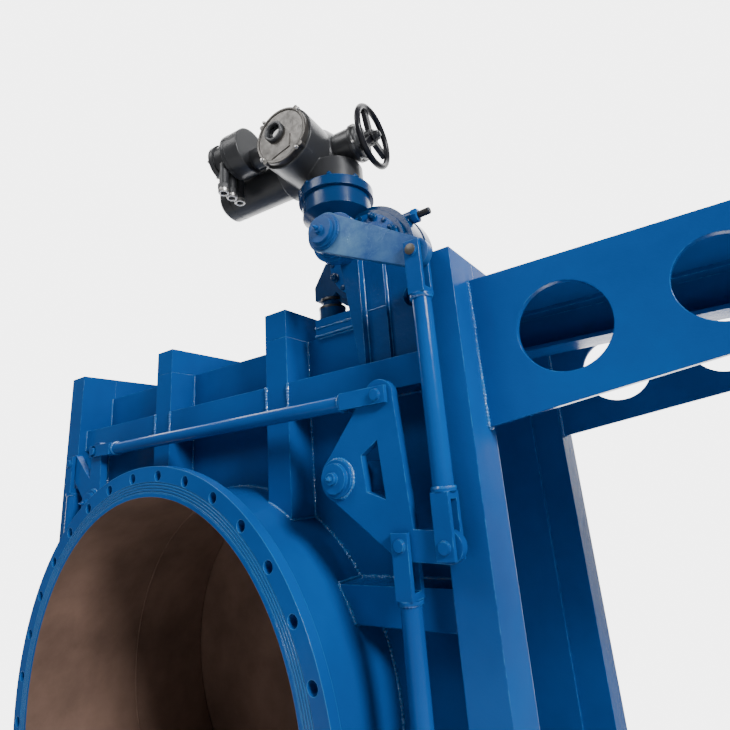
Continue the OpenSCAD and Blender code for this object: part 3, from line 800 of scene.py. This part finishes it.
@dataclass(frozen=True)
class FrameWelds(Trim):
    """Weld beads of the pipes, plates, ribs, beams, gussets and posts, on both faces of the valve."""

    bead: float = 0.0055
    pipe_share: float = 1.15
    bore_share: float = 0.6

    def build(self) -> None:
        """Lays the beads."""
        p = self.plan
        ends = (-p.rib_in, p.rib_in)
        middle = [[(x, p.plate_y, z) for x in ends] for z in (p.beam_z, p.beam_top)]
        for name, rear in (("front", False), ("rear", True)):
            piece = Workpiece()
            for lines, quarters in ((self.quarter_lines(), ((1, 1), (-1, 1), (1, -1), (-1, -1))),
                                    (middle, ((1, 1), (1, -1)))):
                for start, end in lines:
                    for signs in quarters:
                        piece.seam(self.at(start, *signs, rear), self.at(end, *signs, rear), self.bead)
            self.arcs(piece, rear)
            piece.done(f"{name}_frame_welds", self.shop.weld)
            self.rings(name, rear)

    def at(self, point: tuple, sx: int, sz: int, rear: bool) -> Vector:
        """Moves a point of the front upper right quarter to another one, by the signs of X and Z."""
        x, y, z = point
        return Vector((sx * x, self.depth(y, rear), sz * z))

    def depth(self, y: float, rear: bool) -> float:
        """Gives a depth on the front face, or its mirror on the rear face."""
        return self.plan.length - y if rear else y

    def quarter_lines(self) -> list[tuple[tuple, tuple]]:
        """Lists the straight beads of the front upper right quarter."""
        p = self.plan
        lines = []
        for x in (p.rib_in, p.rib_out):
            foot = p.pipe_z(x)
            lines += [((x, p.plate_y, foot), (x, p.plate_y, p.beam_z)),
                      ((x, p.plate_y, p.beam_top), (x, p.plate_y, p.plate_h)),
                      ((x, p.rib_y, p.beam_z), (x, p.rib_y, p.beam_top)),
                      ((x, p.rib_y, foot), (x, p.plate_y, foot))]
        for z in (p.beam_z, p.beam_top):
            lines += [((p.rib_out, p.plate_y, z), (p.post_x, p.plate_y, z)),
                      ((p.post_x, p.rib_y, z), (p.post_x, p.plate_y, z))]
        for z in (p.gusset_z, p.gusset_top):
            tip = p.pipe_z(z)
            lines += [((tip, p.plate_y, z), (p.post_x, p.plate_y, z)),
                      ((tip, p.rib_y, z), (tip, p.plate_y, z)),
                      ((p.post_x, p.rib_y, z), (p.post_x, p.plate_y, z))]
        for y, low, high in ((p.rib_y, p.gusset_z, p.gusset_top), (p.rib_y, p.beam_z, p.beam_top),
                             (p.plate_y, p.beam_top, p.plate_h), (p.plate_y, p.gusset_top, p.beam_z),
                             (p.plate_y, 0.0, p.gusset_z)):
            lines.append(((p.post_x, y, low), (p.post_x, y, high)))
        return lines

    def arcs(self, piece: Workpiece, rear: bool) -> None:
        """Lays the beads where ribs and gussets meet the pipe.

        Args:
            piece: Mesh to add them to.
            rear: Whether they're on the rear face.
        """
        p = self.plan
        centre = (0.0, self.depth(p.rib_y, rear), 0.0)
        rib = (math.acos(p.rib_out / p.pipe_r), math.acos(p.rib_in / p.pipe_r))
        gusset = (math.asin(p.gusset_z / p.pipe_r), math.asin(p.gusset_top / p.pipe_r))
        for first, last in (rib, gusset):
            for start, end in ((first, last), (math.pi - last, math.pi - first), (-last, -first),
                               (first - math.pi, last - math.pi)):
                piece.arc_seam(centre, p.pipe_r, start, end, self.bead)

    def rings(self, name: str, rear: bool) -> None:
        """Lays the beads round the pipe, outside and in the bore.

        Args:
            name: Name of the valve's face.
            rear: Whether it's the rear face.
        """
        p = self.plan
        outside = Workpiece()
        for y in (p.flange_t, p.plate_y, p.plate_back):
            outside.ring_seam((0.0, self.depth(y, rear), 0.0), BACK, p.pipe_r, self.pipe_share * self.bead)
        outside.done(f"{name}_pipe_welds", self.shop.weld)
        inside = Workpiece()
        centre = (0.0, self.depth(p.seam_y, rear), 0.0)
        inside.ring_seam(centre, BACK, p.bore_r, self.bore_share * self.bead)
        inside.done(f"{name}_bore_weld", self.shop.bore)


@dataclass(frozen=True)
class ArmWelds(Trim):
    """Weld beads of the cantilever arm and of the ties on top of the frame."""

    bead: float = 0.0055

    def build(self) -> None:
        """Lays the beads."""
        p = self.plan
        piece = Workpiece()
        rear = p.length - p.arm_y
        for outer, inner in ((p.arm_y, p.arm_y + p.arm_t), (rear, rear - p.arm_t)):
            for y in (outer, inner):
                piece.seam((p.post_out, y, p.arm_low), (p.post_out, y, p.arm_top), self.bead)
                piece.seam((p.arm_end, y, p.arm_end_low), (p.arm_end, y, p.arm_top), self.bead)
            piece.seam((p.post_out, outer, p.arm_low), (p.post_out, inner, p.arm_low), self.bead)
        for sign in (-1, 1):
            for y in (p.plate_back, p.length - p.plate_back):
                piece.seam((sign * p.rib_in, y, p.plate_h), (sign * p.rib_out, y, p.plate_h), self.bead)
        piece.done("arm_welds", self.shop.weld)


@dataclass(frozen=True)
class GearboxTrim(Trim):
    """Bolts, packing, stop screw and weld beads of the gearbox."""

    bead: float = 0.005
    base_share: float = 0.8
    base_lift: float = 0.003
    base_toe: float = 0.045
    stand_share: float = 0.5
    fin_toe: float = 0.020
    fin_top: float = 1.190
    leg_top: float = 1.195
    joint_drop: float = 0.012
    cover_bolts: BoltRing = BoltRing(8, 0.5, 0.1295, (0.020, 0.013, 0.006))
    cover_plugs: BoltRing = BoltRing(8, 0.0, 0.1295, (24, 0.009, 0.003, 0.0008))
    case_bolt: Pair = (0.022, 0.012)
    case_bolt_at: Pair = (0.125, 1.270)
    foot_bolt: Triple = (0.030, 0.016, 0.010)
    foot_t: float = 0.031
    flange_bolts: BoltRing = BoltRing(8, 0.5, 0.118, (0.019, 0.011, 0.005))
    low_washer: Pair = (0.0415, 0.0468)
    top_washer: Pair = (0.012, 0.040)
    washer_t: float = 0.009
    washer_chamfer: float = 0.001
    nut: Sizes = (6, 0.024, 0.020, 0.002, 0.2)
    thread_pitch: float = 0.004
    thread_root: float = 0.0112
    thread_crest: float = 0.0124
    screw_tip: Pair = (0.0095, 0.0022)

    def build(self) -> None:
        """Makes the gearbox trim."""
        self.welds()
        self.fasteners()
        self.packing()
        self.stop_screw()

    def welds(self) -> None:
        """Lays the beads of the base and the stand."""
        p = self.plan
        piece = Workpiece()
        middle = (p.plate_h + p.base_top) / 2
        joint = middle - self.joint_drop
        for z in (p.plate_h + self.base_lift, middle):
            corner = (p.base_x, p.base_y, z)
            piece.seam(corner, (p.fin_right - self.base_toe, p.base_y, z), self.base_share * self.bead)
            piece.seam(corner, (p.base_x, p.plate_y, z), self.base_share * self.bead)
        fin, leg, toe = (p.fin_right, p.leg_y), (p.leg_right, p.web_y), p.fin_right - self.fin_toe
        thin, full, low = self.stand_share * self.bead, self.bead, p.beam_top
        top = (p.plate_y, p.plate_h)
        lines = [
            ((*fin, low), (*fin, self.fin_top), thin),
            ((*leg, low), (*leg, self.leg_top), thin),
            ((*fin, joint), (p.leg_right, p.leg_y, joint), thin),
            ((toe, p.fin_y, low), (p.fin_right, p.fin_y, low), full),
            ((*fin, low), (p.leg_right, p.leg_y, low), full),
            ((*leg, low), (p.web_right, p.web_y, low), full),
            ((p.base_x, *top), (p.fin_right, *top), full)]
        for line in lines:
            piece.seam(*line)
        piece.done("gearbox_welds", self.shop.weld)

    def on_cover(self, x: float, z: float) -> Matrix:
        """Gives a place on the cover, from the gear's axis."""
        return place((self.plan.clamp + x, self.plan.cover_y, self.plan.gear_z + z), FRONT)

    def fasteners(self) -> None:
        """Sets the bolts of the cover, the feet and the input flange."""
        p = self.plan
        piece = Workpiece()
        for angle, x, z in self.cover_bolts.spots():
            piece.bolt(self.on_cover(x, z), *self.cover_bolts.head, angle)
        for _, x, z in self.cover_plugs.spots():
            piece.prism(self.on_cover(x, z), *self.cover_plugs.head)
        for side in (-1, 1):
            x, z = self.case_bolt_at
            piece.bolt(place((p.clamp + side * x, p.foot_y, z), FRONT), *self.case_bolt)
            foot = (p.clamp + side * p.foot_x, p.foot_mid, p.foot_low + self.foot_t)
            piece.bolt(place(foot, UP), *self.foot_bolt)
        for angle, x, y in self.flange_bolts.spots():
            piece.bolt(p.actuator() @ place((x, y, p.input_z), UP), *self.flange_bolts.head, angle)
        # The gearbox bolts take the darker blue that is painted shade.
        piece.done("gearbox_bolts", self.shop.shaded_blue)

    def packing(self) -> None:
        """Lays bare washers in the packing under the feet."""
        p = self.plan
        piece = Workpiece()
        (lift, low_r), (drop, top_r) = self.low_washer, self.top_washer
        for side in (-1, 1):
            foot = p.clamp + side * p.foot_x
            for z, radius in ((p.base_top + lift, low_r), (p.foot_low - drop, top_r)):
                where = place((foot, p.foot_mid, z), UP)
                piece.prism(where, 40, radius, self.washer_t, self.washer_chamfer)
        piece.done("foot_washers", self.shop.dark_steel)

    def stop_screw(self) -> None:
        """Cuts a thread on the stop screw and adds its lock nut."""
        p = self.plan
        nut = Workpiece()
        nut.prism(place((p.clamp + p.stop_boss, p.stop_y, p.stop_z), RIGHT), *self.nut)
        nut.done("stop_nut", self.shop.blue)
        screw = Workpiece()
        start, pitch = p.stop_boss + self.nut[2], self.thread_pitch
        turns = int((p.stop_end - start) / pitch)
        profile = [(0.0, 0.0)]
        for turn in range(turns):
            profile += [(self.thread_root, turn * pitch), (self.thread_crest, (turn + 0.5) * pitch)]
        tip_r, tip_h = self.screw_tip
        end = turns * pitch
        profile += [(self.thread_root, end), (tip_r, end + tip_h), (0.0, end + tip_h)]
        screw.turned(profile, place((p.clamp + start, p.stop_y, p.stop_z), RIGHT), steps=24)
        screw.done("stop_screw_thread", self.shop.dark_steel)


@dataclass(frozen=True)
class LinkTrim(Trim):
    """Pin ends, grease nipples and weld beads of the levers and rods."""

    rod_arm: Pair = (0.290, -0.166)
    tie_arm: Pair = (0.143, 0.193)
    down_arm: Pair = (0.176, -0.161)
    bead: float = 0.0045
    rod_pitch: float = 0.007
    boss_pitch: float = 0.008
    crank_boss: float = 0.048
    lever_boss: float = 0.052
    pin_lift: float = 0.006
    pin_end: Profile = ((0.0, 0.0), (0.0146, 0.0), (0.0138, 0.0012), (0.0, 0.0016))
    pin_cap: Sizes = (32, 0.0148, 0.0024, 0.0006)
    nipple_nut: Sizes = (6, 0.0075, 0.005, 0.0008)
    nipple: Profile = ((0.0, 0.004), (0.0042, 0.004), (0.0042, 0.009), (0.0026, 0.0105), (0.004, 0.013),
                       (0.0026, 0.0155), (0.0, 0.016))

    def build(self) -> None:
        """Makes the trim of each moving body."""
        p = self.plan
        c = p.clamp
        (rx, rz), (tx, tz), (dx, dz) = self.rod_arm, self.tie_arm, self.down_arm
        self.rod(Body.CONNECTING_ROD, p.rod_r, [(c + rx, p.gear_z + rz, DOWN), (c + rx, c + rz, UP)])
        self.rod(Body.TIE_ROD, p.tie_rod_r, [(c + tx, c + tz, LEFT)], [(-c, c + tz, RIGHT)])
        self.rod(Body.DOWN_ROD_RIGHT, p.rod_r, [(c + dx, c + dz, DOWN), (c + dx, -c + dz, UP)])
        self.rod(Body.DOWN_ROD_LEFT, p.rod_r, [(-c - dx, c - dz, DOWN), (-c - dx, -c - dz, UP)])
        for body, x, z in ((Body.CRANK_UPPER_RIGHT, c, c), (Body.CRANK_LOWER_RIGHT, c, -c),
                           (Body.CRANK_UPPER_LEFT, -c, c), (Body.CRANK_LOWER_LEFT, -c, -c)):
            self.hub(body, x, z, self.crank_boss)
        self.hub(Body.LEVER, c, p.gear_z, self.lever_boss)
        cap = Workpiece()
        spot = (c + rx, p.link_y - p.fork_half - self.pin_lift, p.gear_z + rz)
        cap.prism(place(spot, FRONT), *self.pin_cap)
        cap.done("top_pin_end", self.shop.aluminium, Body.CONNECTING_ROD, Slot.BLUE)

    def rod(self, body: Body, radius: float, pinned: list[tuple], plain: list[tuple] = ()) -> None:
        """Makes the ends of a rod's pins and the beads of its forks.

        Args:
            body: Body of the rod.
            radius: Radius of the rod.
            pinned: X, Z and heading of each fork whose pin is the rod's own.
            plain: The same for forks on another body's pin.
        """
        p = self.plan
        trim, welds = Workpiece(), Workpiece()
        for x, z, _ in pinned:
            for side in (-1, 1):
                spot = (x, p.link_y + side * (p.fork_half + self.pin_lift), z)
                trim.turned(self.pin_end, place(spot, (0, side, 0)), steps=32)
        for x, z, heading in [*pinned, *plain]:
            along = Vector(heading)
            centre = Vector((x, p.link_y, z)) + along * p.fork_len
            welds.ring_seam(centre, along, radius, self.bead, self.rod_pitch)
        trim.done(f"{body.value}_pin_ends", self.shop.blue, body, Slot.BLUE)
        welds.done(f"{body.value}_welds", self.shop.weld, body, Slot.BLUE)

    def hub(self, body: Body, x: float, z: float, radius: float) -> None:
        """Makes the bead and the grease nipple of a lever's boss.

        Args:
            body: Body of the lever.
            x: Place of its axis.
            z: Place of its axis.
            radius: Radius of the boss.
        """
        p = self.plan
        worn = body is Body.LEVER
        slot = Slot.WORN if worn else Slot.BLUE
        weld = Workpiece()
        weld.ring_seam((x, p.lever_front, z), BACK, radius, self.bead, self.boss_pitch)
        weld.done(f"{body.value}_boss_weld", self.shop.worn if worn else self.shop.weld, body, slot)
        nipple = Workpiece()
        spot = place((x, p.boss_front, z), FRONT)
        nipple.prism(spot, *self.nipple_nut)
        nipple.turned(self.nipple, spot, steps=20)
        nipple.done(f"{body.value}_nipple", self.shop.blue, body, slot)


@dataclass(frozen=True)
class ActuatorTrim(Trim):
    """Window, gaskets, screws, glands and plugs of the actuator."""

    glass: Sizes = (48, 0.0275, 0.003, 0.0006)
    glass_sink: float = 0.0045
    bezel_lift: float = 0.008
    bezel: Profile = ((0.0265, -0.010), (0.0265, 0.003), (0.029, 0.0055), (0.0355, 0.0055), (0.0375, 0.003),
                      (0.0375, -0.0075))
    rim: Profile = ((0.0925, -0.001), (0.0935, 0.002), (0.096, 0.003), (0.1015, 0.003), (0.1035, 0.001),
                    (0.1035, -0.001))
    ridge: Profile = ((0.040, -0.010), (0.036, -0.058), (-0.040, -0.079))
    ridge_r: float = 0.0024
    lug_screws: BoltRing = BoltRing(4, 4 / 9, 0.104, (0.0095, 0.006))
    lug_t: float = 0.003
    lid_screws: BoltRing = BoltRing(6, 0.25, 0.063, (0.011, 0.007))
    neck_screws: BoltRing = BoltRing(6, 0.5, 0.0645, (0.0085, 0.006))
    neck_in: float = 0.014
    plugs: Profile = ((0.062, 0.016), (0.086, 0.012))
    plug_h: float = 0.012
    gland_cap: Profile = ((0.012, 0.0), (0.012, 0.014), (0.0135, 0.0155), (0.0185, 0.0155), (0.0205, 0.012),
                          (0.0205, 0.0))
    gland_mouth: Sizes = (24, 0.0125, 0.010, 0.001)
    gasket: Profile = ((0.102, -0.0015), (0.1055, -0.0015), (0.1055, 0.0015), (0.102, 0.0015))
    gasket_back: float = 0.020
    band_t: float = 0.004
    drum_joint: Pair = (-0.356, 0.0866)
    lid_joint: Pair = (0.020, 0.0726)
    motor_joint: Pair = (0.060, 0.0766)
    wheel_nut: Triple = (0.030, 0.014, 0.006)
    wheel_hub: float = 0.006
    sunk: float = 0.001

    def build(self) -> None:
        """Makes the actuator trim."""
        self.window()
        self.screws()
        self.glands()
        self.joints()
        self.wheel()

    def on_window(self, x: float, depth: float, z: float) -> Matrix:
        """Gives a place to the right of the window cover's middle, in front of its face and above."""
        p = self.plan
        return p.actuator() @ place((p.window[0] + x, p.window[1] - depth, p.act_z + z), FRONT)

    def window(self) -> None:
        """Makes the glass, its bezel and the cover's rim and ridge."""
        x, z = self.plan.port
        glass = Workpiece()
        glass.prism(self.on_window(x, -self.glass_sink, z), *self.glass)
        glass.done("window_glass", self.shop.glass, Body.VALVE, Slot.ALUMINIUM)
        bezel = Workpiece()
        bezel.ring(self.bezel, self.on_window(x, self.bezel_lift, z), steps=56)
        bezel.done("window_bezel", self.shop.coat, Body.VALVE, Slot.ALUMINIUM)
        rim = Workpiece()
        rim.ring(self.rim, self.on_window(0.0, 0.0, 0.0), steps=96)
        corners = [self.on_window(x, 0.0, z).translation for x, z in self.ridge]
        for first, last in zip(corners, corners[1:]):
            rim.prism(place(first, last - first), 8, self.ridge_r, (last - first).length)
        rim.done("window_rim", self.shop.aluminium, Body.VALVE, Slot.ALUMINIUM)

    def screws(self) -> None:
        """Sets the screws of the window, the terminal lid and the neck, and the neck's plugs."""
        p = self.plan
        frame = p.actuator()
        piece = Workpiece()
        for _, x, z in self.lug_screws.spots():
            piece.bolt(self.on_window(x, self.lug_t, z), *self.lug_screws.head)
        for _, y, z in self.lid_screws.spots():
            spot = (-p.terminal_end, p.terminal_y + y, p.terminal_z + z)
            piece.bolt(frame @ place(spot, LEFT), *self.lid_screws.head)
        for _, y, z in self.neck_screws.spots():
            spot = (p.neck_end - self.neck_in, y, p.wheel_z + z)
            piece.bolt(frame @ place(spot, RIGHT), *self.neck_screws.head)
        for x, across in self.plugs:
            piece.bolt(frame @ place((x, 0.0, p.wheel_z + p.neck_r - self.sunk), UP), across, self.plug_h)
        piece.done("actuator_screws", self.shop.steel, Body.VALVE, Slot.ACTUATOR)

    def glands(self) -> None:
        """Makes the bright caps of the cable glands and their dark mouths."""
        p = self.plan
        caps, mouths = Workpiece(), Workpiece()
        x, z = p.gland
        for index in (-1, 0, 1):
            spot = (x, p.terminal_y + index * p.gland_pitch, z + self.sunk)
            where = p.actuator() @ place(spot, DOWN)
            caps.ring(self.gland_cap, where, steps=32)
            mouths.prism(where, *self.gland_mouth)
        caps.done("gland_caps", self.shop.steel, Body.VALVE, Slot.ACTUATOR)
        mouths.done("gland_mouths", self.shop.black, Body.VALVE, Slot.ACTUATOR)

    def joints(self) -> None:
        """Makes the joint lines round the window housing, the terminal box and the motor."""
        p = self.plan
        piece = Workpiece()
        piece.ring(self.gasket, self.on_window(0.0, -self.gasket_back, 0.0), steps=72)
        joints = [
            (0.0, self.drum_joint, p.terminal_y, p.terminal_z),
            (p.terminal_end, self.lid_joint, p.terminal_y, p.terminal_z),
            (p.motor_end, self.motor_joint, p.motor_y, p.motor_z)]
        for base, (offset, radius), y, z in joints:
            inner, half = radius - self.band_t, self.band_t / 2
            band = ((inner, -half), (radius, -half), (radius, half), (inner, half))
            piece.ring(band, p.actuator() @ place((offset - base, y, z), RIGHT), steps=64)
        piece.done("actuator_joints", self.shop.dark_steel, Body.VALVE, Slot.ACTUATOR)

    def wheel(self) -> None:
        """Makes the handwheel's hub nut."""
        p = self.plan
        piece = Workpiece()
        where = p.actuator() @ place((p.wheel_x + self.wheel_hub, 0.0, p.wheel_z), RIGHT)
        piece.bolt(where, *self.wheel_nut)
        piece.done("handwheel_nut", self.shop.dark_steel, Body.HANDWHEEL, Slot.BLACK)


@dataclass
class Dressing:
    """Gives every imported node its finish."""

    shop: Paintshop
    # The darker blues for input_flange, gear_case and gearbox_stand are painted shade; the flanges' finish
    # paints highlights on their edges, and the lever's worn finish is partly painted reflection.
    special: dict[str, str] = field(default_factory=lambda: {
        "front_pipe": "bore", "rear_pipe": "bore", "blind_plate": "disc",
        "front_flange": "flange_edge_highlights", "rear_flange": "flange_edge_highlights", "lever": "worn",
        "input_flange": "shaded_blue", "gear_case": "shaded_blue", "gearbox_stand": "cast",
        "actuator_body": "coat", "terminal_box": "coat", "motor": "coat", "handwheel_neck": "coat",
        "window_cover": "aluminium", "handwheel": "black"})

    def apply(self, nodes: dict[str, bpy.types.Object]) -> None:
        """Sets the material of each node's object.

        Args:
            nodes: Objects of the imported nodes, by name.
        """
        for name, piece in nodes.items():
            finish = getattr(self.shop, self.special.get(name, "blue"))
            piece.data.materials.clear()
            piece.data.materials.append(finish)
            LOG.info("%s wears %s", name, finish.name)


@dataclass
class Studio:
    """Plain pale floor, soft light and the photograph's camera."""

    floor_z: float
    eye: Triple = (1.4240, -0.8744, 0.5812)
    forward: Triple = (-0.52150, 0.80655, 0.27842)
    upward: Triple = (0.22244, -0.18650, 0.95694)
    focal_pixels: float = 493.29
    centre_pixel: Pair = (375.96, 340.77)
    sensor: float = 36.0
    far: float = 200.0
    floor_middle: Pair = (2.5, -2.8)
    floor_half: Pair = (5.5, 5.2)
    floor_greys: Pair = (0.42, 0.46)
    floor_scale: float = 0.8
    floor_rough: float = 0.9
    front_glow: float = 0.22
    back_glow: float = 5.0
    glow_spans: tuple = (((-1.0, 0.0, 0.25), -0.25, -0.04), ((0.0, 1.0, 0.0), -0.05, 0.12))
    lamps: tuple = (("key", (5.8, -1.6, 3.4), (0.5, 0.4, 0.4), 1.4, 580.0),
                    ("fill", (-1.4, -3.4, 5.2), (0.0, 0.4, 0.2), 2.4, 150.0),
                    ("back", (-3.0, 5.0, 4.5), (0.4, 0.7, 0.6), 3.0, 130.0))

    def build(self) -> None:
        """Makes the camera, the floor, the sky and the lamps."""
        self.camera()
        self.floor()
        self.sky()
        for lamp in self.lamps:
            self.lamp(*lamp)

    def camera(self) -> None:
        """Sets the camera that the photograph was taken with."""
        data = bpy.data.cameras.new("photo_camera")
        data.sensor_width = self.sensor
        data.lens = self.sensor * self.focal_pixels / PHOTO_PIXELS
        data.shift_x = 0.5 - self.centre_pixel[0] / PHOTO_PIXELS
        data.shift_y = self.centre_pixel[1] / PHOTO_PIXELS - 0.5
        data.clip_end = self.far
        back = -Vector(self.forward).normalized()
        right = Vector(self.upward).cross(back).normalized()
        upward = back.cross(right)
        turn = Matrix((right, upward, back)).transposed().to_4x4()
        camera = stand("photo_camera", data)
        camera.matrix_world = Matrix.Translation(self.eye) @ turn
        bpy.context.scene.camera = camera

    def floor(self) -> None:
        """Lays a pale floor under the posts."""
        mesh = bmesh.new()
        where = Matrix.Translation((*self.floor_middle, self.floor_z))
        where = where @ Matrix.Diagonal((*self.floor_half, 1.0, 1.0))
        bmesh.ops.create_grid(mesh, x_segments=1, y_segments=1, size=1.0, matrix=where)
        data = bpy.data.meshes.new("studio_floor")
        mesh.to_mesh(data)
        mesh.free()
        desk = NodeDesk("pale_floor")
        greys = [(grey, grey, grey) for grey in self.floor_greys]
        colour = desk.mix(desk.noise(Pattern(self.floor_scale)), *greys)
        data.materials.append(desk.finish({"Base Color": colour, "Roughness": self.floor_rough}))
        floor = stand("studio_floor", data)
        floor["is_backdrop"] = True

    def sky(self) -> None:
        """Sets a surround that is white behind the valve and dim in front of it and to its right."""
        world = bpy.data.worlds.new("white_surround")
        world.use_nodes = True
        bench = NodeBench(world.node_tree)
        heading = bench.add("ShaderNodeTexCoord").outputs["Generated"]
        shares = []
        for vector, low, high in self.glow_spans:
            reach = bench.vector("DOT_PRODUCT", heading, vector).outputs["Value"]
            shares.append(bench.span(reach, low, high, interpolation_type="SMOOTHSTEP"))
        glow = bench.span(bench.math("MULTIPLY", *shares), 0.0, 1.0, self.front_glow, self.back_glow)
        bench.feed(world.node_tree.nodes["Background"], {"Strength": glow, "Color": (1.0, 1.0, 1.0)})
        bpy.context.scene.world = world

    def lamp(self, name: str, where: tuple, target: tuple, size: float, power: float) -> None:
        """Hangs a soft square lamp.

        Args:
            name: Name of the lamp.
            where: Its place.
            target: Point that it faces.
            size: Side of its square.
            power: Its power in watts.
        """
        data = bpy.data.lights.new(name, "AREA")
        data.size = size
        data.energy = power
        lamp = stand(name, data)
        lamp.matrix_world = place(where, Vector(where) - Vector(target))


def main() -> None:
    """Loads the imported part, dresses it and sets the studio."""
    logging.basicConfig(level=logging.INFO, format="%(name)s: %(message)s")
    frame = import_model()
    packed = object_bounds()
    shop = Paintshop()
    Dressing(shop).apply(frame["nodes"])
    plan = Plan()
    for trim in (FrameWelds, ArmWelds, GearboxTrim, LinkTrim, ActuatorTrim):
        trim(plan, shop).build()
    Studio(floor_z=packed[0][2]).build()


if __name__ == "__main__":
    main()
